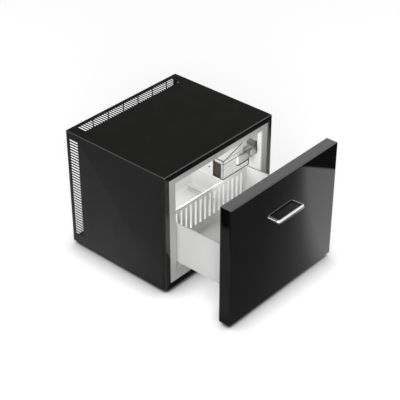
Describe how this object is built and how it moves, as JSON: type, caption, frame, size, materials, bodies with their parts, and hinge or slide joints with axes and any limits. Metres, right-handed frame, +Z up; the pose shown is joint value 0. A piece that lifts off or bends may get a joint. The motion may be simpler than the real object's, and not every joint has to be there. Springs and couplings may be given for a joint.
{
  "type": "minibar cabinet",
  "caption": "Boxy black insulated minibar cabinet with a full-height pull-out drawer on roller runners, white bin, bar handle and a thermoelectric cooler behind.",
  "frame": {"origin": "middle of the footprint of the cabinet with its drawer open as at rest, on the floor under the feet", "axes": "+Z up, +Y into the cabinet away from the user, +X to the right seen from the front"},
  "size_m": [0.5, 0.7006, 0.427],
  "materials": {
    "casing_paint": "matte",
    "frame_satin": "satin",
    "flange_grey": "satin",
    "front_gloss": "polished",
    "liner_white": "satin",
    "bin_white": "satin",
    "runner_white": "satin",
    "foam": "matte",
    "gasket_rubber": "matte",
    "bright_metal": "polished",
    "zinc_steel": "satin",
    "aluminium": "satin",
    "module_ceramic": "matte",
    "clear_plastic": "polished",
    "board_brown": "satin",
    "lamp_frost": "satin",
    "black_plastic": "satin",
    "nylon": "satin",
    "foot_rubber": "matte",
    "magnet": "satin"
  },
  "bodies": {
    "cabinet": {"front_frame": "frame_satin", "seal_flange": "flange_grey", "top_panel": "casing_paint", "left_side_panel": "casing_paint", "right_side_panel": "casing_paint", "base_pan": "casing_paint", "rear_guard": "casing_paint", "rear_bulkhead": "zinc_steel", "foam_jacket": "foam", "inner_liner": "liner_white", "reed_switch": "black_plastic", "front_foot_left": "foot_rubber", "rear_foot_left": "foot_rubber", "front_foot_right": "foot_rubber", "rear_foot_right": "foot_rubber", "cold_sink": "aluminium", "cold_block": "aluminium", "peltier_module": "module_ceramic", "heat_sink": "aluminium", "fan_frame": "black_plastic", "drip_tray": "liner_white", "power_supply": "zinc_steel", "power_inlet": "black_plastic", "lamp_housing": "clear_plastic", "control_board": "board_brown", "lamp_lens": "lamp_frost", "lamp_strip": "black_plastic", "thermostat_body": "black_plastic", "fixed_runner_left": "runner_white", "fixed_runner_right": "runner_white", "front_roller_pin_left": "zinc_steel", "front_roller_pin_right": "zinc_steel"},
    "drawer": {"front_panel": "front_gloss", "front_panel_surround": "front_gloss", "front_panel_foam": "foam", "front_panel_inner_plate": "liner_white", "reed_magnet": "magnet", "door_gasket": "gasket_rubber", "pull_handle": "bright_metal", "handle_screw_left": "zinc_steel", "handle_screw_right": "zinc_steel", "drawer_bin": "bin_white", "moving_runner_left": "runner_white", "moving_runner_right": "runner_white", "rear_roller_pin_left": "zinc_steel", "rear_roller_pin_right": "zinc_steel", "rail_screw_left_lower": "zinc_steel", "rail_screw_left_upper": "zinc_steel", "rail_screw_right_lower": "zinc_steel", "rail_screw_right_upper": "zinc_steel"},
    "roller_front_left": {"front_roller_left": "nylon"},
    "roller_rear_left": {"rear_roller_left": "nylon"},
    "roller_front_right": {"front_roller_right": "nylon"},
    "roller_rear_right": {"rear_roller_right": "nylon"},
    "dial": {"thermostat_dial": "lamp_frost"},
    "fan": {"fan_rotor": "black_plastic"}
  },
  "joints": [
    {"name": "drawer_slide", "type": "slide", "parent": "cabinet", "child": "drawer", "axis": [0, -1, 0], "range_m": [-0.2049, 0.03]},
    {"name": "roller_front_left_turn", "type": "hinge", "parent": "cabinet", "child": "roller_front_left", "pos_m": [-0.163, -0.04675, 0.0735], "axis": [1, 0, 0], "range_deg": [-1815, 270]},
    {"name": "roller_rear_left_turn", "type": "hinge", "parent": "drawer", "child": "roller_rear_left", "pos_m": [-0.1572, -0.00075, 0.0755], "axis": [1, 0, 0], "range_deg": [-210, 1390]},
    {"name": "roller_front_right_turn", "type": "hinge", "parent": "cabinet", "child": "roller_front_right", "pos_m": [0.163, -0.04675, 0.0735], "axis": [1, 0, 0], "range_deg": [-1815, 270]},
    {"name": "roller_rear_right_turn", "type": "hinge", "parent": "drawer", "child": "roller_rear_right", "pos_m": [0.1572, -0.00075, 0.0755], "axis": [1, 0, 0], "range_deg": [-210, 1390]},
    {"name": "dial_turn", "type": "hinge", "parent": "cabinet", "child": "dial", "pos_m": [0.176, -0.05155, 0.315], "axis": [0, -1, 0], "range_deg": [-140, 140]},
    {"name": "fan_spin", "type": "hinge", "parent": "cabinet", "child": "fan", "pos_m": [0, 0.31925, 0.285], "axis": [0, 1, 0], "continuous": true}
  ],
  "couplings": [
    {"joint": "roller_front_left_turn", "follows": "drawer_slide", "rad_per_m": 153.85},
    {"joint": "roller_rear_left_turn", "follows": "drawer_slide", "rad_per_m": -117.65},
    {"joint": "roller_front_right_turn", "follows": "drawer_slide", "rad_per_m": 153.85},
    {"joint": "roller_rear_right_turn", "follows": "drawer_slide", "rad_per_m": -117.65}
  ]
}
